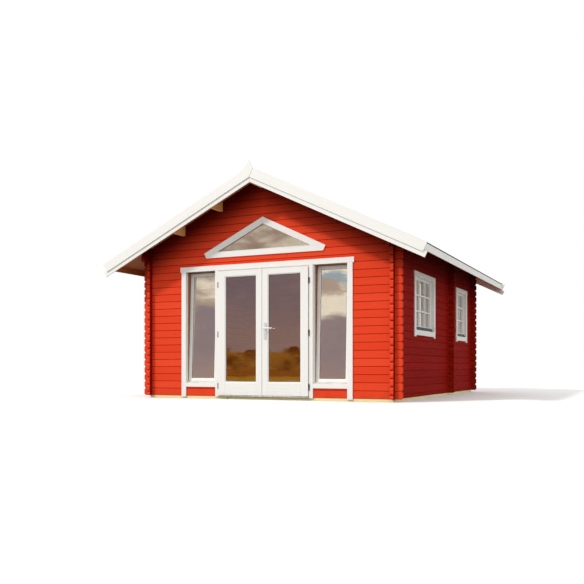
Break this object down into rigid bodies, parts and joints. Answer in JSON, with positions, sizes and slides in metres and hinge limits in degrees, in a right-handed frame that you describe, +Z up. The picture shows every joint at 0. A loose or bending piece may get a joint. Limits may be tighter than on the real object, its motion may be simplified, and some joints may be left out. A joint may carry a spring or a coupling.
{
  "type": "log cabin",
  "caption": "Gable-roofed log cabin with a glazed double door between sidelights, a triangular gable window and barred side windows.",
  "frame": {"origin": "centre of the roof's plan, on the ground under the foundation beams", "axes": "+Z up, -Y is the front with the double door, +X towards the side with the windows"},
  "size_m": [5.245, 5.814, 3.4845],
  "materials": {
    "red_logs": "satin red paint on machined spruce logs",
    "white_paint": "white paint on planed boards",
    "bare_pine": "bare planed pine",
    "treated_wood": "pressure-treated pine",
    "roof_felt": "mineral-faced bitumen felt",
    "window_glass": "clear sheet glass",
    "grey_metal": "satin sill profile",
    "hinge_steel": "zinc-plated steel",
    "lock_steel": "satin steel"
  },
  "bodies": {
    "cabin": {"foundation_beams": "treated_wood", "floor_boards": "bare_pine", "front_wall_left": "red_logs", "front_wall_right": "red_logs", "front_wall_sills": "red_logs", "front_gable": "red_logs", "left_wall": "red_logs", "right_wall": "red_logs", "back_wall": "red_logs", "back_gable": "red_logs", "partition_left": "red_logs", "partition_right": "red_logs", "partition_gable": "red_logs", "ridge_purlin": "bare_pine", "side_purlins": "bare_pine", "roof_boards_left": "bare_pine", "roof_boards_right": "bare_pine", "roof_felt": "roof_felt", "front_barge_boards": "white_paint", "front_inner_barges": "white_paint", "back_barge_boards": "white_paint", "back_inner_barges": "white_paint", "eaves_boards": "white_paint", "door_frame": "white_paint", "door_threshold": "grey_metal", "frame_hinges": "hinge_steel", "sidelight_frames": "white_paint", "sidelight_sashes": "white_paint", "sidelight_glass": "window_glass", "front_trim": "white_paint", "gable_window_frame": "white_paint", "gable_window_glass": "window_glass", "gable_window_trim": "white_paint", "side_window_frames": "white_paint", "side_window_glass": "window_glass", "side_window_trim": "white_paint", "window_flashings": "grey_metal"},
    "left_leaf": {"left_door": "white_paint", "left_door_glass": "window_glass", "left_door_hinges": "hinge_steel"},
    "right_leaf": {"right_door": "white_paint", "right_door_glass": "window_glass", "right_door_hinges": "hinge_steel", "door_plates": "lock_steel"},
    "lever": {"door_lever": "lock_steel"}
  },
  "joints": [
    {"name": "left_leaf_hinge", "type": "hinge", "parent": "cabin", "child": "left_leaf", "pos_m": [-0.7625, -2.4955, 1], "axis": [0, 0, -1], "range_deg": [0, 105]},
    {"name": "right_leaf_hinge", "type": "hinge", "parent": "cabin", "child": "right_leaf", "pos_m": [0.7625, -2.4955, 1], "axis": [0, 0, 1], "range_deg": [0, 105]},
    {"name": "lever_turn", "type": "hinge", "parent": "right_leaf", "child": "lever", "pos_m": [0.056, -2.506, 1.062], "axis": [0, 1, 0], "range_deg": [0, 40], "stiffness_Nm_per_rad": 2, "springref_deg": -17.19}
  ]
}
